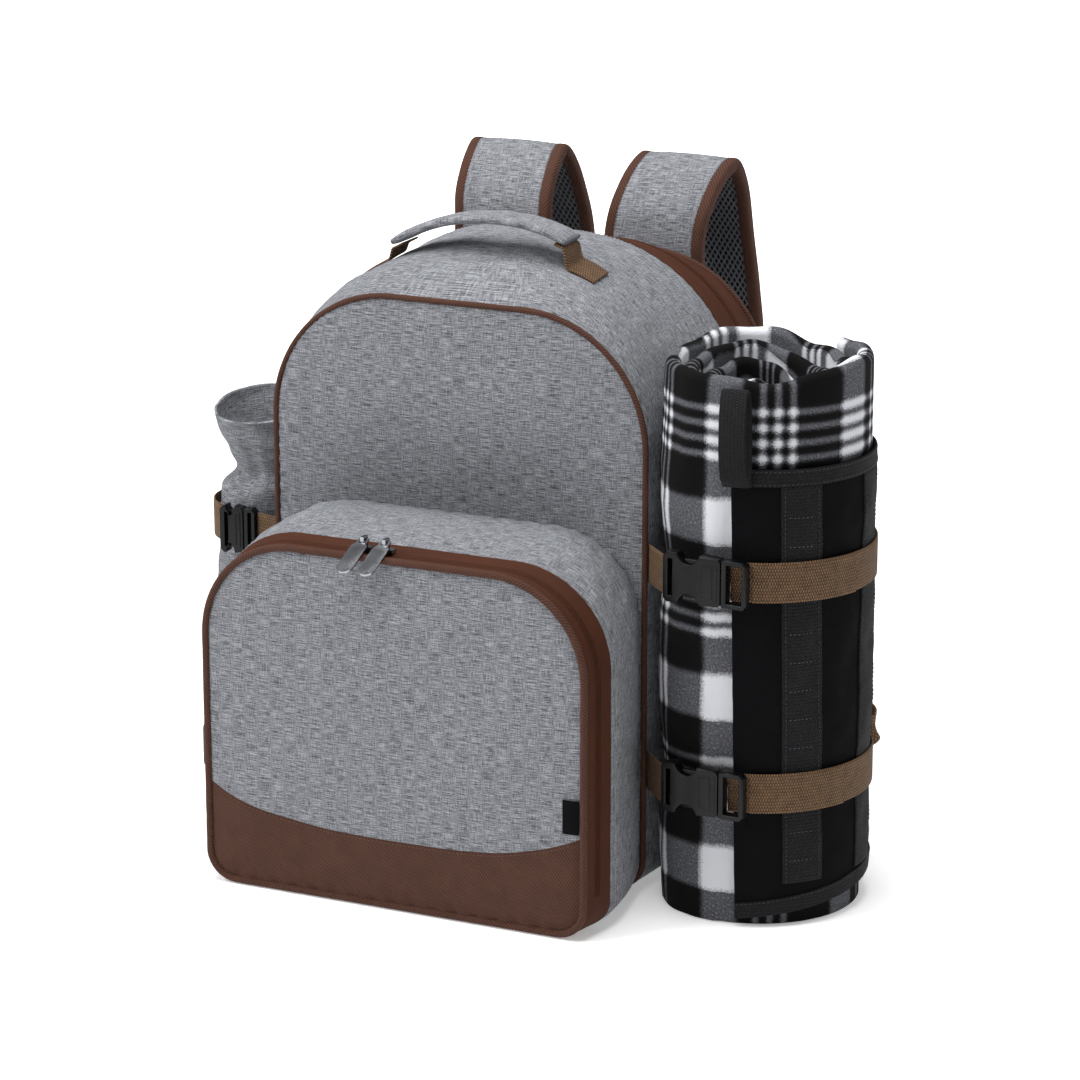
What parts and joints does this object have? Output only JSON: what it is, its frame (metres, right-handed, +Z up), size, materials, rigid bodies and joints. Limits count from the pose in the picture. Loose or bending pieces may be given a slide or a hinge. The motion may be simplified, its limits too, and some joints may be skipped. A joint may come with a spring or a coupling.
{
  "type": "picnic cooler backpack with rolled blanket",
  "caption": "Soft cooler backpack with a front pocket, carrying handle, shoulder straps, side bottle holder and a plaid blanket rolled and strapped to one side.",
  "frame": {"origin": "on the ground under the middle of the main compartment, on its flat underside", "axes": "+Z up, +Y towards the wearer's back, -Y towards the pocket, +X towards the blanket"},
  "size_m": [0.5864, 0.4371, 0.517],
  "materials": {
    "grey_cloth": "woven grey melange, matt",
    "brown_cloth": "dark brown twill, matt",
    "zip_tape": "red-brown zip tape with a coil",
    "khaki_webbing": "ribbed khaki webbing",
    "black_webbing": "ribbed black webbing",
    "black_cloth": "black weave, slight sheen",
    "black_plastic": "moulded, semi-gloss",
    "satin_metal": "satin gunmetal",
    "fleece": "plaid fleece, matt",
    "spacer_mesh": "black spacer mesh"
  },
  "bodies": {
    "bag": {"back_panel": "grey_cloth", "blanket_flap": "black_cloth", "blanket_roll": "fleece", "bottle_holder": "grey_cloth", "flap_bottom_hem": "black_webbing", "flap_handle": "black_webbing", "flap_strip_front": "black_webbing", "flap_strip_side": "black_webbing", "flap_top_hem": "black_webbing", "front_panel": "grey_cloth", "handle_grip": "grey_cloth", "handle_tab_left": "khaki_webbing", "handle_tab_right": "khaki_webbing", "holder_buckle_female": "black_plastic", "holder_buckle_male": "black_plastic", "holder_strap": "khaki_webbing", "holder_strap_lower": "black_webbing", "holder_strap_short": "khaki_webbing", "main_gusset": "grey_cloth", "main_piping": "brown_cloth", "pocket_base_band": "brown_cloth", "pocket_front": "grey_cloth", "pocket_gusset": "grey_cloth", "pocket_piping": "brown_cloth", "pocket_zip_band": "zip_tape", "rear_piping": "brown_cloth", "rear_zip_band": "zip_tape", "rear_zip_slider": "satin_metal", "roll_buckle_lower_female": "black_plastic", "roll_buckle_lower_male": "black_plastic", "roll_buckle_upper_female": "black_plastic", "roll_buckle_upper_male": "black_plastic", "roll_strap_lower": "khaki_webbing", "roll_strap_lower_short": "khaki_webbing", "roll_strap_lower_tail": "khaki_webbing", "roll_strap_upper": "khaki_webbing", "roll_strap_upper_short": "khaki_webbing", "roll_strap_upper_tail": "khaki_webbing", "shoulder_strap_left": "grey_cloth", "shoulder_strap_right": "grey_cloth", "side_label": "black_cloth", "strap_adjuster_left": "black_plastic", "strap_adjuster_right": "black_plastic", "strap_binding_left_inner": "brown_cloth", "strap_binding_left_outer": "brown_cloth", "strap_binding_right_inner": "brown_cloth", "strap_binding_right_outer": "brown_cloth", "strap_mesh_left": "spacer_mesh", "strap_mesh_right": "spacer_mesh", "strap_webbing_left": "khaki_webbing", "strap_webbing_right": "khaki_webbing", "zip_slider_left": "satin_metal", "zip_slider_right": "satin_metal"},
    "pull_left": {"zip_pull_left": "satin_metal"},
    "pull_right": {"zip_pull_right": "satin_metal"}
  },
  "joints": [
    {"name": "pull_left_turn", "type": "hinge", "parent": "bag", "child": "pull_left", "pos_m": [-0.028, -0.20545, 0.28305], "axis": [-1, 0, 0], "range_deg": [0, 195]},
    {"name": "pull_right_turn", "type": "hinge", "parent": "bag", "child": "pull_right", "pos_m": [-0.01, -0.20545, 0.28305], "axis": [-1, 0, 0], "range_deg": [0, 195]}
  ]
}
